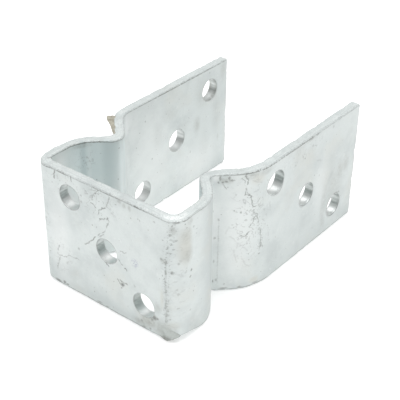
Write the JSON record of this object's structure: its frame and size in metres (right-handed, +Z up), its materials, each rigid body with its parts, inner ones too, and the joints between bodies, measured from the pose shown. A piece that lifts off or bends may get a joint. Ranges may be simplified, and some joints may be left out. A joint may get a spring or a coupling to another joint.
{
  "type": "joist hanger",
  "caption": "Joist hanger folded from galvanised flat bar: a punched bearing plate and a pinched loop, with parallel punched legs that take the joist between them.",
  "frame": {"origin": "middle of the bottom edge of the bearing face of the web", "axes": "+Z up along the width of the bar, +Y from the bearing face to the leg ends, +X to the right leg"},
  "size_m": [0.0544, 0.0871, 0.04],
  "materials": {
    "galvanised_steel": "hot-dip galvanised, pale grey and slightly lumpy"
  },
  "bodies": {
    "root": {"hanger_strip": "galvanised_steel"}
  },
  "joints": []
}
